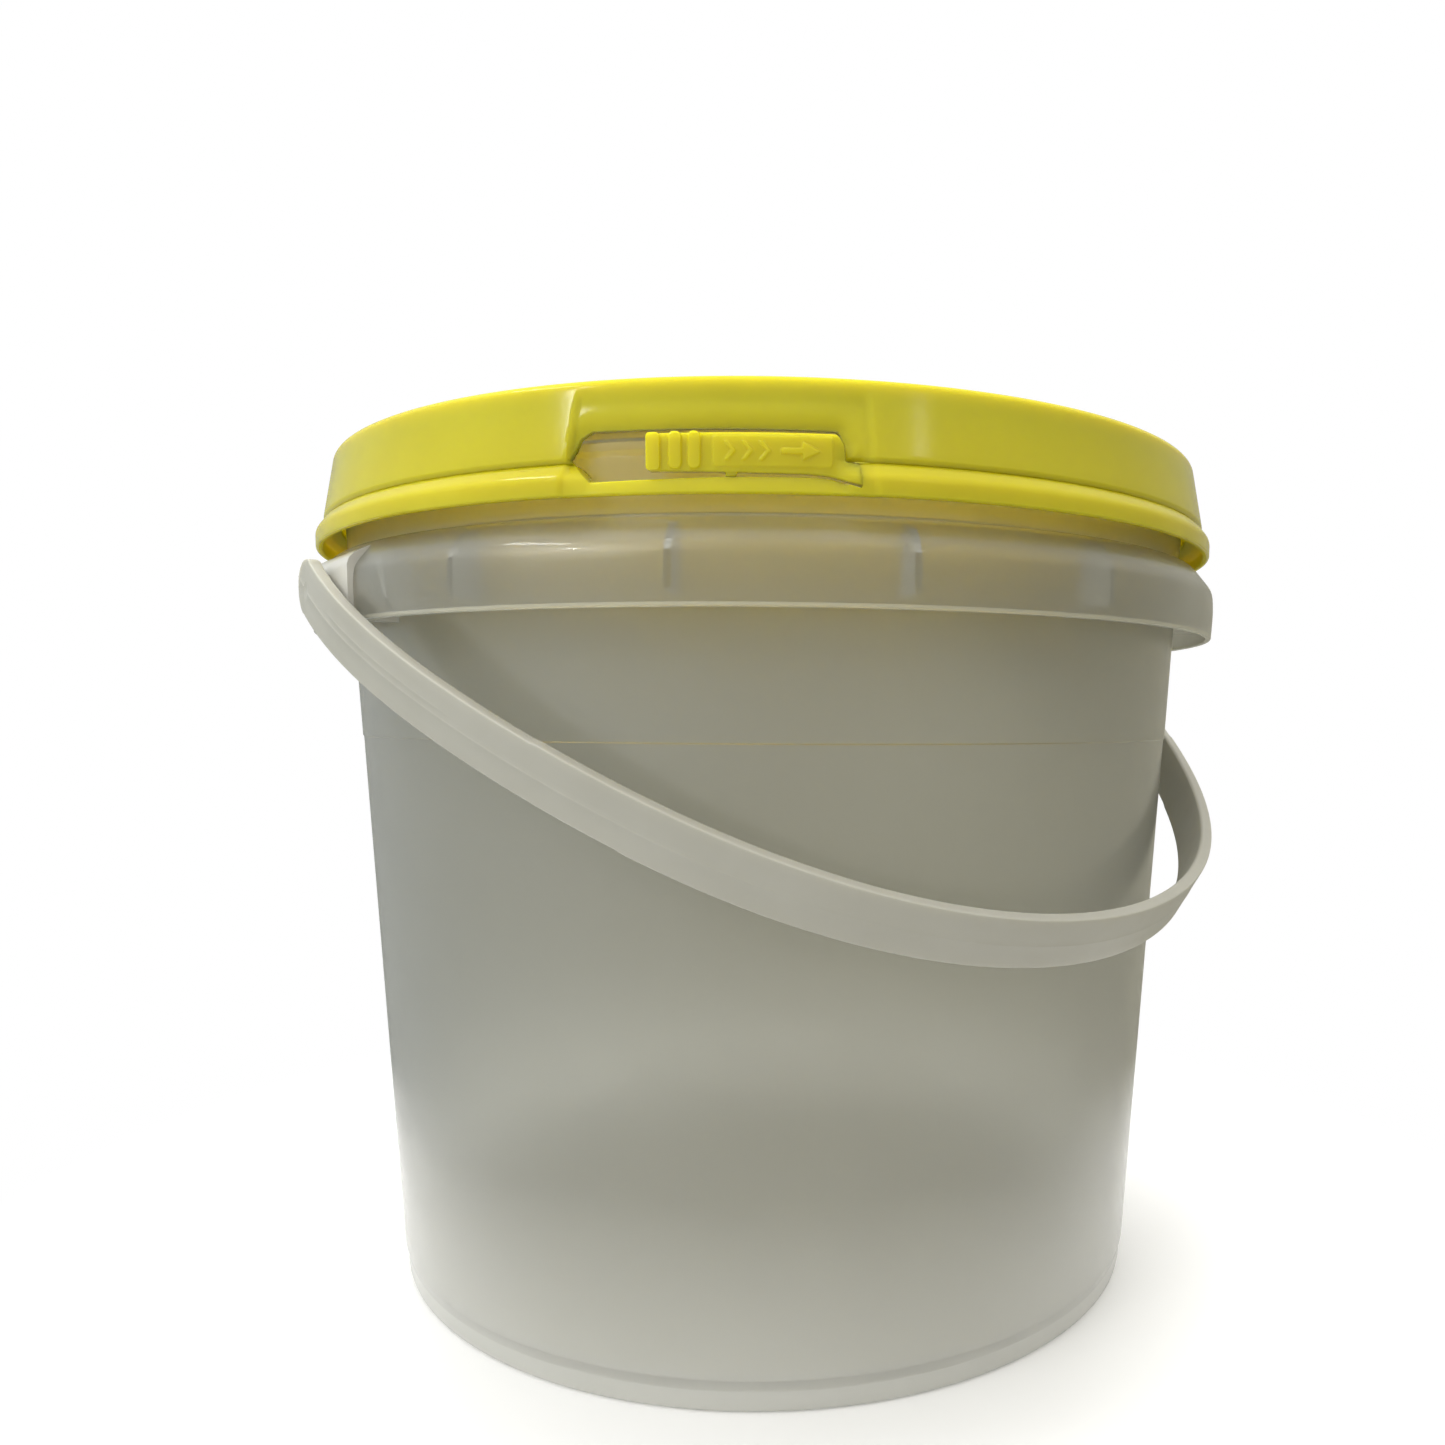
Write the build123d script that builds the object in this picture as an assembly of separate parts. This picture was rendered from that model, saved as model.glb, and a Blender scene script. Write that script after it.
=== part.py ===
from build123d import *
from math import sin, cos, pi, radians, degrees, sqrt, atan2
import os

# Round plastic pail, nominal 5 litre, with a snap-on tamper-evident lid and a
# one-piece moulded carrying handle.
#
# Frame: millimetres, +Z up. The origin is the centre of the foot ring on the
# floor. X runs along the handle's pivot axis. The handle leans towards -Y.
# Azimuths are degrees from -Y, counted towards +X.

os.makedirs("parts", exist_ok=True)

# ------------------------------------------------------------ dimensions ----
# pail
WALL_R0 = 97.7          # outer radius of the wall, extrapolated to the floor plane
WALL_TAPER = 0.0461     # outward growth of the wall per mm of height
WALL_T = 1.5            # wall thickness
FOOT_H = 4.2            # height of the foot ring, which is also the floor's underside
FOOT_R = 97.2           # outer radius of the foot ring
FOOT_T = 2.2            # width of the foot ring
FLOOR_T = 1.8           # floor thickness
PART_Z = 135.2          # height of the mould's parting line
PART_STEP = 0.2         # the wall is this much larger above the parting line
RIM_Z = 197.75          # top of the rim
LIP_R = 107.0           # outer radius of the rim's lip
LIP_Z = 187.2           # underside of the lip

# collar under the lid
COLLAR_TOP_Z = 175.8    # where the shoulder leaves the wall
COLLAR_OUT = (          # outer profile of the shoulder and skirt, (radius, height)
    (109.6, 175.6),     # end of the level shelf
    (114.1, 169.9),     # foot of the sloping shoulder
    (114.5, 165.5),     # fullest part of the skirt
    (114.1, 159.1),     # bottom edge of the skirt
)
COLLAR_IN = (           # inner profile, bottom edge first
    (112.7, 159.1),
    (113.1, 165.5),
    (112.75, 169.3),
    (109.0, 174.2),
)
COLLAR_R = 114.1        # outer radius at the bottom edge of the skirt
COLLAR_Z = 159.1        # bottom edge of the skirt
RIB_T = 1.5
RIB_Z = 162.3            # bottom edge of the gussets
RIB_PITCH = 22.5        # the gussets stand every 22.5 degrees, except at the ears

# handle ears on the collar
EAR_W = 27.0            # width of the flat pad
EAR_FACE = 114.6        # outer face of the pad, from the pail's axis
EAR_T = 2.5
PIVOT_Z = 166.0
PIN_R = 3.2
PIN_CLEAR = 0.05        # radial running clearance of the pivot pins
PIN_HEAD_R = 4.1
PIN_IN = 108.4          # inner end of the pin, from the pail's axis
PIN_HEAD_X = 111.5      # inner side of the snap head

# handle
STRAP_W = 12.3          # width of the strap
STRAP_T = 2.8           # thickness of the strap
STRAP_A = 117.79        # middle of the strap from the axis, at the pivots
LEAN = 31.6             # the resting handle points this far below level
POLAR = (1.0869, -0.0688, 0.0203, 0.0040)   # plan shape of the strap, see below
POLAR_SCALE = 113.0
GRIP_A = 35.0           # the grip runs from this angle round the strap to 180 minus it
SWING = 360.0 - 180.0 + 2 * LEAN            # travel over the top, about 243 degrees

# lid
LID_Z = 199.6           # top of the raised rim land
LID_T = 1.5
LID_TOP_R = 108.4
PANEL_Z = 193.2         # top of the sunk centre panel
PANEL_R = 100.9         # radius of the sunk panel
LAND_IN_R = 101.6       # inner edge of the land
SPLIT_Z = 184.6         # tear line between the lid and its tamper band
SKIRT_R = 111.1         # outer radius of the skirt just above the tear line
SKIRT_T = 1.4
BEAD_R = 107.35         # inner radius of the band's snap bead, under the rim's lip
BAND_R = 113.0          # outer radius of the tamper band
BAND_Z = 178.5          # bottom edge of the tamper band

# window and tab
WIN_A0, WIN_A1 = -54.2, -27.9      # azimuths of the window's ends
WIN_A1_TOP = -28.9                 # its right end above the tear line
WIN_Z0, WIN_Z1 = 181.0, 189.65     # bottom and top of the window
TAB_A0, TAB_A1 = -47.6, -29.7      # azimuths of the tab's free and root ends
TAB_Z0, TAB_Z1 = 182.5, 189.25
TAB_RI, TAB_RO = 110.6, 112.1      # inner and outer radius of the tab plate
HINGE_A = -28.45                   # azimuth of the tab's living hinge
ROOT_Z0, ROOT_Z1 = 181.25, 184.35  # the root joins the band below the tear line
HINGE_R = 111.35


def wall_r(z):
    return WALL_R0 + WALL_TAPER * z


def ring(points, rounds=()):
    """Solid of revolution about Z from (r, z) corners; rounds: {index: radius}."""
    with BuildSketch(Plane.XZ) as sk:
        with BuildLine():
            Polyline(*points, close=True)
        make_face()
        for i, rad in rounds:
            target = points[i]
            v = sorted(sk.vertices(), key=lambda q: (q.X - target[0]) ** 2 + (q.Z - target[1]) ** 2)[0]
            fillet(v, rad)
    with BuildPart() as bp:
        add(sk.sketch)
        revolve(axis=Axis.Z)
    return bp.part


def turned(points, rounds):
    """Solid of revolution about Z from (r, z) corners, with a tangent arc of
    the given radius at some of them; rounds: {index: radius}."""
    n = len(points)
    cuts = []
    for i, (px, pz) in enumerate(points):
        (ax, az), (bx, bz) = points[i - 1], points[(i + 1) % n]
        if i not in rounds:
            cuts.append([(px, pz)])
            continue
        la, lb = sqrt((ax - px) ** 2 + (az - pz) ** 2), sqrt((bx - px) ** 2 + (bz - pz) ** 2)
        ua, ub = ((ax - px) / la, (az - pz) / la), ((bx - px) / lb, (bz - pz) / lb)
        half = 0.5 * atan2(abs(ua[0] * ub[1] - ua[1] * ub[0]), ua[0] * ub[0] + ua[1] * ub[1])
        rad = rounds[i]
        d = rad * cos(half) / sin(half)
        mx, mz = ua[0] + ub[0], ua[1] + ub[1]
        lm = sqrt(mx * mx + mz * mz)
        mx, mz = mx / lm, mz / lm
        k = rad / sin(half)
        cuts.append([(px + ua[0] * d, pz + ua[1] * d), (px + mx * (k - rad), pz + mz * (k - rad)),
                     (px + ub[0] * d, pz + ub[1] * d)])
    with BuildSketch(Plane.XZ) as sk:
        with BuildLine():
            for i, c in enumerate(cuts):
                if len(c) == 3:
                    ThreePointArc(*c)
                Line(c[-1], cuts[(i + 1) % n][0])
        make_face()
    with BuildPart() as bp:
        add(sk.sketch)
        revolve(axis=Axis.Z)
    return bp.part


def at(az, r, z):
    a = radians(az)
    return Vector(r * sin(a), -r * cos(a), z)


def radial_plane(az, z=0.0):
    """Plane whose x runs outward at this azimuth, and whose normal is tangential."""
    a = radians(az)
    out = Vector(sin(a), -cos(a), 0)
    tang = Vector(cos(a), sin(a), 0)
    return Plane(origin=(0, 0, z), x_dir=out, z_dir=-tang)


def radial_prism(az, pts, thick):
    """Flat plate of (r, z) corners standing radially at an azimuth."""
    a = radians(az)
    out = Vector(sin(a), -cos(a), 0)
    tang = Vector(cos(a), sin(a), 0)
    # x = out, y = +Z needs the normal out x Z
    pl = Plane(origin=(0, 0, 0), x_dir=out, z_dir=out.cross(Vector(0, 0, 1)))
    with BuildSketch(pl) as sk:
        with BuildLine():
            Polyline(*pts, close=True)
        make_face()
    return extrude(sk.sketch, amount=thick / 2, both=True)


def sector(r0, r1, z0, z1, a0, a1):
    """Part of a tube between two azimuths."""
    tube = ring([(r0, z0), (r1, z0), (r1, z1), (r0, z1)])
    n = 8
    pts = [(0.0, 0.0)]
    big = r1 / cos(radians((a1 - a0) / n / 2)) + 1
    for i in range(n + 1):
        a = radians(a0 + (a1 - a0) * i / n)
        pts.append((big * sin(a), -big * cos(a)))
    with BuildSketch(Plane.XY.offset(z0 - 1)) as sk:
        with BuildLine():
            Polyline(*pts, close=True)
        make_face()
    wedge = extrude(sk.sketch, amount=z1 - z0 + 2)
    return tube & wedge


def single(shape, name):
    solids = list(shape.solids())
    solids.sort(key=lambda s: s.volume, reverse=True)
    assert len(solids) == 1, (name, [round(s.volume, 2) for s in solids])
    assert solids[0].is_valid, name
    return solids[0]


# ------------------------------------------------------------------ pail ----
def make_pail():
    """Floor, foot ring, wall, neck and rim."""
    zf = FOOT_H + FLOOR_T
    rs = PART_STEP
    body = ring(
        [
            (0, FOOT_H),
            (FOOT_R - FOOT_T, FOOT_H),
            (FOOT_R - FOOT_T, 0),
            (FOOT_R, 0),
            (FOOT_R + 0.25, FOOT_H - 0.2),
            (wall_r(FOOT_H + 1.0), FOOT_H + 1.0),
            (wall_r(PART_Z), PART_Z),
            (wall_r(PART_Z) + rs, PART_Z),
            (wall_r(186.6) + rs, 186.6),
            (LIP_R - 0.3, LIP_Z),
            (LIP_R, LIP_Z + 0.4),
            (LIP_R, RIM_Z - 1.2),
            (LIP_R - 1.2, RIM_Z),
            (wall_r(191.0) - WALL_T + 0.3, RIM_Z),
            (wall_r(191.0) - WALL_T, RIM_Z - 1.5),
            (wall_r(zf + 6) - WALL_T, zf + 6),
            (wall_r(zf) - WALL_T - 5, zf),
            (0, zf),
        ],
        rounds=((16, 8.0), (3, 1.0), (2, 0.6)),
    )
    return single(body, "pail")


def make_collar():
    """Collar skirt with its gussets and the two handle ears, outside the wall."""
    rs = PART_STEP
    # collar: a shoulder and a skirt that hangs clear of the wall
    root = wall_r(COLLAR_TOP_Z) - 0.8
    root = wall_r(COLLAR_TOP_Z) - 0.8
    collar = turned(
        [(root, COLLAR_TOP_Z + 0.2), *COLLAR_OUT, *COLLAR_IN, (root, COLLAR_TOP_Z - 1.2)],
        {1: 2.4, 2: 5.0, 3: 30.0, 4: 0.4, 6: 28.0, 7: 3.6, 8: 1.0},
    )
    pail = collar
    # gussets between the wall and the skirt
    rib_pts = [
        (wall_r(165) - 0.8, RIB_Z),
        (113.6, RIB_Z),
        (113.3, 168.0),
        (110.2, 173.2),
        (wall_r(165) - 0.8, 175.0),
    ]
    azs = [-90 + RIB_PITCH * k for k in range(16)]
    for az in azs:
        if abs(abs(sin(radians(az))) - 1.0) < 1e-6:
            continue
        pail = pail + radial_prism(az, rib_pts, RIB_T)
    # ears: a flat pad on the skirt with side webs and splayed gussets
    for s in (-1, 1):
        pad_pts = [
            (EAR_FACE - EAR_T, COLLAR_Z),
            (EAR_FACE, COLLAR_Z),
            (EAR_FACE, 170.6),
            (EAR_FACE - 1.2, 172.6),
            (EAR_FACE - 4.5, 174.4),
            (wall_r(170) - 0.8, 176.0),
            (wall_r(170) - 0.8, 174.4),
            (EAR_FACE - EAR_T - 3.0, 172.6),
            (EAR_FACE - EAR_T, 169.8),
        ]
        pail = pail + radial_prism(90 * s, pad_pts, EAR_W)
        web_pts = [
            (wall_r(165) - 0.8, COLLAR_Z),
            (EAR_FACE, COLLAR_Z),
            (EAR_FACE, 170.6),
            (EAR_FACE - 1.2, 172.6),
            (EAR_FACE - 4.5, 174.4),
            (wall_r(170) - 0.8, 176.0),
        ]
        for t in (-1, 1):
            web = radial_prism(90 * s, web_pts, 1.5)
            web = Pos(0, t * (EAR_W / 2 - 0.75), 0) * web
            pail = pail + web
            # splayed gusset: leans away from the ear towards its foot
            low, high = 13.6, 9.4
            a0, a1 = radians(90 * s + t * low), radians(90 * s + t * high)
            r_in, r_out = wall_r(165) - 0.8, 113.5
            p = [at(degrees(a0), r_in, COLLAR_Z + 1.2), at(degrees(a0), r_out, COLLAR_Z + 1.2),
                 at(degrees(a1), r_out - 2.6, 172.8), at(degrees(a1), r_in, 174.8)]
            tang = Vector(cos((a0 + a1) / 2), sin((a0 + a1) / 2), 0) * 0.65
            tri = []
            lo = [q - tang for q in p]
            hi = [q + tang for q in p]
            faces = []
            for f in (
                (lo[0], lo[1], lo[2]), (lo[0], lo[2], lo[3]),
                (hi[0], hi[2], hi[1]), (hi[0], hi[3], hi[2]),
            ):
                faces.append(Face(Wire.make_polygon(list(f), close=True)))
            for i in range(4):
                j = (i + 1) % 4
                for f in ((lo[i], lo[j], hi[j]), (lo[i], hi[j], hi[i])):
                    faces.append(Face(Wire.make_polygon(list(f), close=True)))
            gus = Solid(Shell(faces))
            if gus.volume < 0:
                gus = Solid(Shell([-f for f in faces]))
            pail = pail + Part(gus.wrapped)
        # pivot hole through the pad
        hole = Plane(origin=(s * (EAR_FACE - EAR_T - 2), 0, PIVOT_Z), z_dir=(s, 0, 0)) * Cylinder(
            PIN_R + PIN_CLEAR, EAR_T + 4, align=(Align.CENTER, Align.CENTER, Align.MIN))
        pail = pail - hole
    # everything meets the outside of the wall
    core = ring([(0, 150), (wall_r(150) + rs, 150), (wall_r(186.6) + rs, 186.6), (0, 186.6)])
    return single(pail - core, "collar")


# ---------------------------------------------------------------- handle ----
def strap_curve(off, n=49):
    """Plan of the strap in its own plane. The distance from the middle of the
    pivot axis is a short cosine series of the angle, and off moves the line
    outward for the strap's two faces."""
    c = POLAR
    out = []
    for i in range(n):
        th = pi * i / (n - 1)
        r = c[0] + c[1] * cos(2 * th) + c[2] * cos(4 * th) + c[3] * cos(6 * th)
        dr = -2 * c[1] * sin(2 * th) - 4 * c[2] * sin(4 * th) - 6 * c[3] * sin(6 * th)
        x, y = -r * cos(th), r * sin(th)
        tx, ty = -dr * cos(th) + r * sin(th), dr * sin(th) + r * cos(th)
        l = sqrt(tx * tx + ty * ty)
        nx, ny = -ty / l, tx / l
        if nx * x + ny * y < 0:
            nx, ny = -nx, -ny
        out.append((POLAR_SCALE * x + off * nx, POLAR_SCALE * y + off * ny))
    return out


def make_handle():
    outer = strap_curve(STRAP_T / 2)
    inner = strap_curve(-STRAP_T / 2)
    ext = STRAP_W / 2 + 0.4
    # straight ends beyond the pivots, in the plane x = +-STRAP_A
    xo, xi = STRAP_A + STRAP_T / 2, STRAP_A - STRAP_T / 2
    outer[0], outer[-1] = (-xo, 0), (xo, 0)
    inner[0], inner[-1] = (-xi, 0), (xi, 0)
    with BuildSketch(Plane.XZ) as sk:     # local y of the sketch is +Z: mirror to -Z below
        with BuildLine():
            Spline(*outer, tangents=((0, 1), (0, -1)))
            Line(outer[-1], (xo, -ext))
            Line((xo, -ext), (xi, -ext))
            Line((xi, -ext), inner[-1])
            Spline(*inner[::-1], tangents=((0, 1), (0, -1)))
            Line(inner[0], (-xi, -ext))
            Line((-xi, -ext), (-xo, -ext))
            Line((-xo, -ext), outer[0])
        make_face()
    strap = extrude(sk.sketch, amount=STRAP_W / 2, both=True)
    # the grip lies between two rays from the middle of the pivot axis
    g = radians(GRIP_A)
    with BuildSketch(Plane.XZ) as wk:
        with BuildLine():
            Polyline((0, 0), (-260 * cos(g), 260 * sin(g)), (260 * cos(g), 260 * sin(g)), (0, 0))
        make_face()
    wedge = extrude(wk.sketch, amount=STRAP_W, both=True)
    made = {}
    ends = strap
    pins = {}
    for s in (-1, 1):
        # rounded ends about the pivot axis
        blk = Pos(s * STRAP_A, 0, -ext) * Box(STRAP_T + 6, STRAP_W + 4, 2 * ext)
        cyl = Pos(s * STRAP_A, 0, 0) * (Rot(0, 90, 0) * Cylinder(STRAP_W / 2, STRAP_T + 8))
        ends = ends - (blk - cyl)
        # pivot pin with its snap head
        length = (STRAP_A - STRAP_T / 2) - PIN_IN + 0.6
        pin = Pos(s * (PIN_IN + length / 2), 0, 0) * (Rot(0, 90, 0) * Cylinder(PIN_R, length))
        head_l = PIN_HEAD_X - PIN_IN
        head = Pos(s * (PIN_IN + head_l / 2), 0, 0) * (
            Rot(0, 90 * s, 0) * Cone(PIN_R - 0.5, PIN_HEAD_R, head_l))
        pins[s] = (pin + head) - strap
    made["handle_grip"] = ends & wedge
    arms = ends - wedge
    for s, side in ((-1, "left"), (1, "right")):
        half = Pos(s * 150, 0, 0) * Box(300, 60, 400)
        made["handle_arm_" + side] = arms & half
        made["pivot_pin_" + side] = pins[s]
    # local -Z side is up here: turn the strap down to its resting lean
    place = Pos(0, 0, PIVOT_Z) * Rot(-(90 - LEAN), 0, 0) * Rot(180, 0, 0)
    return {n: single(place * shape, n) for n, shape in made.items()}


# ------------------------------------------------------------------- lid ----
def skirt_r(z):
    """Outer radius of the lid's skirt."""
    return SKIRT_R - (z - 185.4) * (SKIRT_R - LID_TOP_R) / (LID_Z - 185.4)


def window():
    """Cutter for the window in the skirt: two sectors, the upper one a little shorter."""
    low = sector(104.5, 118.0, WIN_Z0, SPLIT_Z, WIN_A0, WIN_A1)
    top = sector(104.5, 118.0, SPLIT_Z - 0.01, WIN_Z1, WIN_A0, WIN_A1_TOP)
    return low + top


def make_lid():
    lid = ring(
        [
            (0, PANEL_Z - LID_T),
            (PANEL_R + 1.2, PANEL_Z - LID_T),
            (102.6, 193.2),
            (103.5, 194.4),
            (103.5, 195.4),
            (103.0, 196.6),
            (103.2, LID_Z - LID_T),
            (LID_TOP_R - 1.3, LID_Z - LID_T),
            (skirt_r(196.0) - SKIRT_T + 0.35, 196.0),
            (skirt_r(185.6) - SKIRT_T, 185.6),
            (109.9, SPLIT_Z),
            (110.5, SPLIT_Z),
            (SKIRT_R, 185.4),
            (skirt_r(LID_Z), LID_Z),
            (LAND_IN_R, LID_Z),
            (PANEL_R, PANEL_Z),
            (0, PANEL_Z),
        ],
        rounds=((13, 1.6), (14, 0.8), (15, 2.0)),
    )
    lid = lid - window()
    return single(lid, "lid")


def make_band():
    band = ring(
        [
            (109.9, SPLIT_Z),
            (110.5, SPLIT_Z),
            (111.5, 183.6),
            (BAND_R, 181.6),
            (BAND_R, BAND_Z + 0.6),
            (BAND_R - 0.6, BAND_Z),
            (BAND_R - 1.5, BAND_Z),
            (BAND_R - 1.6, 181.2),
            (109.6, 182.2),
            (BEAD_R, 183.0),
            (BEAD_R, 183.8),
            (108.6, SPLIT_Z),
        ],
        rounds=((3, 2.0),),
    )
    band = band - window()
    return single(band, "tamper_band")


def make_tab():
    """Pull tab: a curved plate with an end block, two grip ribs and an arrow."""
    plate = sector(TAB_RI, TAB_RO, TAB_Z0, TAB_Z1, TAB_A0, TAB_A1)
    k = degrees(1.0 / 111.5)                    # degrees per mm around the skirt
    end = sector(TAB_RI - 0.3, TAB_RO + 0.7, TAB_Z0, TAB_Z1, TAB_A0, TAB_A0 + 2.2 * k)
    tab = plate + end
    for a in (-46.05, -43.6):
        rib = sector(TAB_RO - 0.2, TAB_RO + 0.6, TAB_Z0 + 0.5, TAB_Z1 - 0.5, a, a + 2.7 * k)
        tab = tab + rib
    # raised panel with an arrow that points along the pull
    panel = sector(TAB_RO - 0.2, TAB_RO + 0.3, TAB_Z0 + 0.9, TAB_Z1 - 0.9, -41.2, -32.2)
    tab = tab + panel
    # root: rounded end about the hinge line
    hinge = at(HINGE_A, HINGE_R, 0)
    knuckle = Pos(hinge.X, hinge.Y, (ROOT_Z0 + ROOT_Z1) / 2) * Cylinder(0.72, ROOT_Z1 - ROOT_Z0)
    neck = sector(HINGE_R - 0.72, HINGE_R + 0.72, ROOT_Z0, ROOT_Z1, TAB_A1 - 2.0, HINGE_A)
    tab = tab + knuckle + neck
    return single(tab, "tear_tab")


pieces = {
    "pail": make_pail(),
    "collar": make_collar(),
    **make_handle(),
    "lid": make_lid(),
    "tamper_band": make_band(),
    "tear_tab": make_tab(),
}
for name, shape in pieces.items():
    export_step(shape, "parts/%s.step" % name)
    bb = shape.bounding_box()
    print(name, "volume %.1f" % shape.volume, "box", [round(v, 2) for v in (*bb.min, *bb.max)])
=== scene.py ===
import bpy, bmesh, math
import numpy as np
from mathutils import Vector, Matrix
from math import sin, cos, tan, pi, radians, degrees, sqrt, atan2

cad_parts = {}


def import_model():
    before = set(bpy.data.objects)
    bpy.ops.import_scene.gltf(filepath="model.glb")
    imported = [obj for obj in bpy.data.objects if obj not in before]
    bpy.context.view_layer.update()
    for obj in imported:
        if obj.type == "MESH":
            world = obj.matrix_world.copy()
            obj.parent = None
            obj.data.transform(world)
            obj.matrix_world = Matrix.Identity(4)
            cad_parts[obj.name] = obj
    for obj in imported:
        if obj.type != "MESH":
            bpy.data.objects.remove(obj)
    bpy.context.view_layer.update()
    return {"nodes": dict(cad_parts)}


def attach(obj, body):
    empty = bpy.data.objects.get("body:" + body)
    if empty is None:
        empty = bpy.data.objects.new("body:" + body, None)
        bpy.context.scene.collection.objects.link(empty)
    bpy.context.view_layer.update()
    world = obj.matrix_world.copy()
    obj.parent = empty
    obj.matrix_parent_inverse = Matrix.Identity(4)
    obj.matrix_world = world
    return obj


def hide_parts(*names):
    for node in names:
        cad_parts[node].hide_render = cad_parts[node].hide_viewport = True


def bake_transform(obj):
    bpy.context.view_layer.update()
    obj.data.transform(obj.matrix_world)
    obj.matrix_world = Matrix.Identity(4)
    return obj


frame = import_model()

# Lidded plastic pail. Everything is worked out in millimetres in the row frame
# (origin at the centre of the foot ring, +Z up, X along the handle's pivots)
# and turned into metres when the meshes are made.
MM = 0.001
VIEW_AZ = 36.0            # the camera stands this far to the -X side of -Y

# light
FLOOR_GLOW, FLOOR_FADE = 0.15, (0.12, 0.22)
WORLD_BASE = (0.245, 0.235, 0.185)
WORLD_LEFT = ((-0.1, 1.0, 0.0, 1.0), (0.26, 0.30, 0.34))
WORLD_RIGHT = ((0.30, 1.0, 0.0, 1.0), (0.15, 0.145, 0.115))
WORLD_FRONT = ((-0.3, 1.0, 0.0, 1.0), (0.34, 0.33, 0.31))
WORLD_TOP = ((0.0, 1.0, 0.0, 1.0), (0.45, 0.45, 0.45))

# ------------------------------------------------------------- dimensions ----
WALL_R0, WALL_TAPER, WALL_T = 97.7, 0.0461, 1.5
FOOT_H, FOOT_R, FOOT_T, FLOOR_T = 4.2, 97.2, 2.2, 1.8
PART_Z, PART_STEP = 135.2, 0.2
RIM_Z, LIP_R, LIP_Z = 197.75, 107.0, 187.2
COLLAR_Z, COLLAR_R, RIB_Z = 159.1, 114.1, 162.3
EAR_W, EAR_FACE, EAR_T = 27.0, 114.6, 2.5
PIVOT_Z, PIN_R = 166.0, 3.2
STRAP_W, STRAP_T, STRAP_A, LEAN = 12.3, 2.8, 117.79, 31.6
POLAR, POLAR_SCALE = (1.0869, -0.0688, 0.0203, 0.0040), 113.0
LID_Z, LID_T, LID_TOP_R = 199.6, 1.5, 108.4
PANEL_Z, PANEL_R, LAND_IN_R = 193.2, 100.9, 101.6
SPLIT_Z, SKIRT_R, SKIRT_T = 184.6, 111.1, 1.4
BEAD_R, BAND_R, BAND_Z = 107.35, 113.0, 178.5
TAB_RI, TAB_RO = 110.6, 112.1
HINGE_AZ, HINGE_R = -28.45, 111.35


def wall_r(z):
    return WALL_R0 + WALL_TAPER * z


def skirt_r(z):
    return SKIRT_R - (z - 185.4) * (SKIRT_R - LID_TOP_R) / (LID_Z - 185.4)


# ----------------------------------------------------------- mesh helpers ----
def link(name, bm, smooth_angle=32.0):
    bmesh.ops.remove_doubles(bm, verts=bm.verts, dist=2e-7)
    bmesh.ops.recalc_face_normals(bm, faces=bm.faces)
    me = bpy.data.meshes.new(name)
    bm.to_mesh(me)
    bm.free()
    ob = bpy.data.objects.new(name, me)
    bpy.context.scene.collection.objects.link(ob)
    shade(ob, smooth_angle)
    return ob


def shade(ob, angle=32.0):
    me = ob.data
    me.polygons.foreach_set("use_smooth", [True] * len(me.polygons))
    me.set_sharp_from_angle(angle=radians(angle))
    me.update()


def rounded(pts, rad, step=9.0):
    """Corners of a closed polygon, with arcs of the given radii at some of them."""
    out = []
    n = len(pts)
    for i, p in enumerate(pts):
        r = rad.get(i, 0.0)
        if r <= 0:
            out.append(tuple(p))
            continue
        p = np.array(p, float)
        a, b = np.array(pts[i - 1], float), np.array(pts[(i + 1) % n], float)
        v1, v2 = a - p, b - p
        l1, l2 = np.linalg.norm(v1), np.linalg.norm(v2)
        v1, v2 = v1 / l1, v2 / l2
        ang = math.acos(max(-1, min(1, float(v1 @ v2))))
        if ang > pi - 0.02:
            out.append(tuple(p))
            continue
        d = min(r / tan(ang / 2), 0.48 * l1, 0.48 * l2)
        r = d * tan(ang / 2)
        c = p + (v1 + v2) / np.linalg.norm(v1 + v2) * (r / sin(ang / 2))
        s, e = p + v1 * d - c, p + v2 * d - c
        turn = pi - ang
        k = max(2, int(degrees(turn) / step))
        a0 = atan2(s[1], s[0])
        a1 = atan2(e[1], e[0])
        da = (a1 - a0 + pi) % (2 * pi) - pi
        for q in range(k + 1):
            t = a0 + da * q / k
            out.append((float(c[0] + r * cos(t)), float(c[1] + r * sin(t))))
    return out


def refine(pts, most, where=None, closed=True):
    """Splits the sides of a polygon that are longer than most."""
    out = []
    n = len(pts)
    for i in range(n if closed else n - 1):
        a, b = pts[i], pts[(i + 1) % n]
        out.append(a)
        l = math.hypot(b[0] - a[0], b[1] - a[1])
        if where is not None and not where(a, b):
            continue
        k = int(math.ceil(l / most))
        for q in range(1, k):
            out.append((a[0] + (b[0] - a[0]) * q / k, a[1] + (b[1] - a[1]) * q / k))
    if not closed:
        out.append(pts[-1])
    return out


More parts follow.
